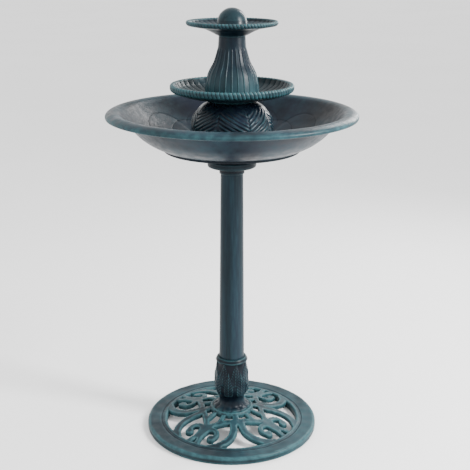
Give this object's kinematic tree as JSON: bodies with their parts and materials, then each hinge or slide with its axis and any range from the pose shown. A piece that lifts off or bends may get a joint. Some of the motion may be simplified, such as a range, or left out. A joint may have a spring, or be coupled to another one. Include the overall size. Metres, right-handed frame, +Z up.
{
  "type": "pedestal garden fountain",
  "caption": "Tiered bird-bath fountain on a pedestal: wide basin, ball pump cover, fluted column, scalloped bowls, bell finial and an openwork scroll base.",
  "frame": {"origin": "on the ground under the middle of the base", "axes": "+Z up the post; the pump's strainer and the front face -Y; +X is to the right from the front"},
  "size_m": [0.624, 0.624, 1.104],
  "materials": {
    "verdigris_plastic": "satin, brushed with a lighter blue-green on the raised edges",
    "black_plastic": "fine matt moulding",
    "grey_plastic": "smooth moulding",
    "tube_plastic": "milky flexible tube",
    "rubber": "soft matt rubber",
    "zinc_steel": "bright zinc plate",
    "ferrite": "ground dark ferrite",
    "ceramic": "polished white ceramic",
    "potted_core": "laminated core and windings in resin"
  },
  "bodies": {
    "stand": {"base": "verdigris_plastic", "collar": "verdigris_plastic", "post": "verdigris_plastic", "post_head": "verdigris_plastic", "tie_rod": "zinc_steel", "rod_washers": "zinc_steel", "rod_nuts": "zinc_steel"},
    "basin_group": {"basin": "verdigris_plastic", "cable_grommet": "rubber", "pump_housing": "black_plastic", "stator_block": "potted_core", "motor_lid": "black_plastic", "cable_gland": "rubber", "chamber_lid": "black_plastic", "impeller_shaft": "ceramic", "shaft_bushes": "rubber", "suction_feet": "rubber"},
    "rotor": {"impeller": "grey_plastic", "rotor_magnet": "ferrite"},
    "strainer": {"intake_cover": "black_plastic"},
    "dial": {"flow_dial": "grey_plastic"},
    "head": {"ball_cover": "verdigris_plastic", "middle_bowl": "verdigris_plastic", "column": "verdigris_plastic", "top_bowl": "verdigris_plastic", "riser_tube": "tube_plastic", "spray_nozzle": "black_plastic"},
    "finial_cap": {"finial": "verdigris_plastic"}
  },
  "joints": [
    {"name": "basin_twist", "type": "hinge", "parent": "stand", "child": "basin_group", "pos_m": [0, 0, 0.732], "axis": [0, 0, 1], "range_deg": [0, 30]},
    {"name": "head_lift", "type": "slide", "parent": "basin_group", "child": "head", "axis": [0, 0, 1], "range_m": [0, 0.09]},
    {"name": "finial_lift", "type": "slide", "parent": "head", "child": "finial_cap", "axis": [0, 0, 1], "range_m": [0, 0.045]},
    {"name": "rotor_spin", "type": "hinge", "parent": "basin_group", "child": "rotor", "pos_m": [0, 0, 0.793], "axis": [0, 1, 0], "continuous": true},
    {"name": "strainer_slide", "type": "slide", "parent": "basin_group", "child": "strainer", "axis": [0, -1, 0], "range_m": [0, 0.015]},
    {"name": "dial_turn", "type": "hinge", "parent": "strainer", "child": "dial", "pos_m": [0, -0.03, 0.784], "axis": [0, 1, 0], "range_deg": [0, 120]}
  ]
}
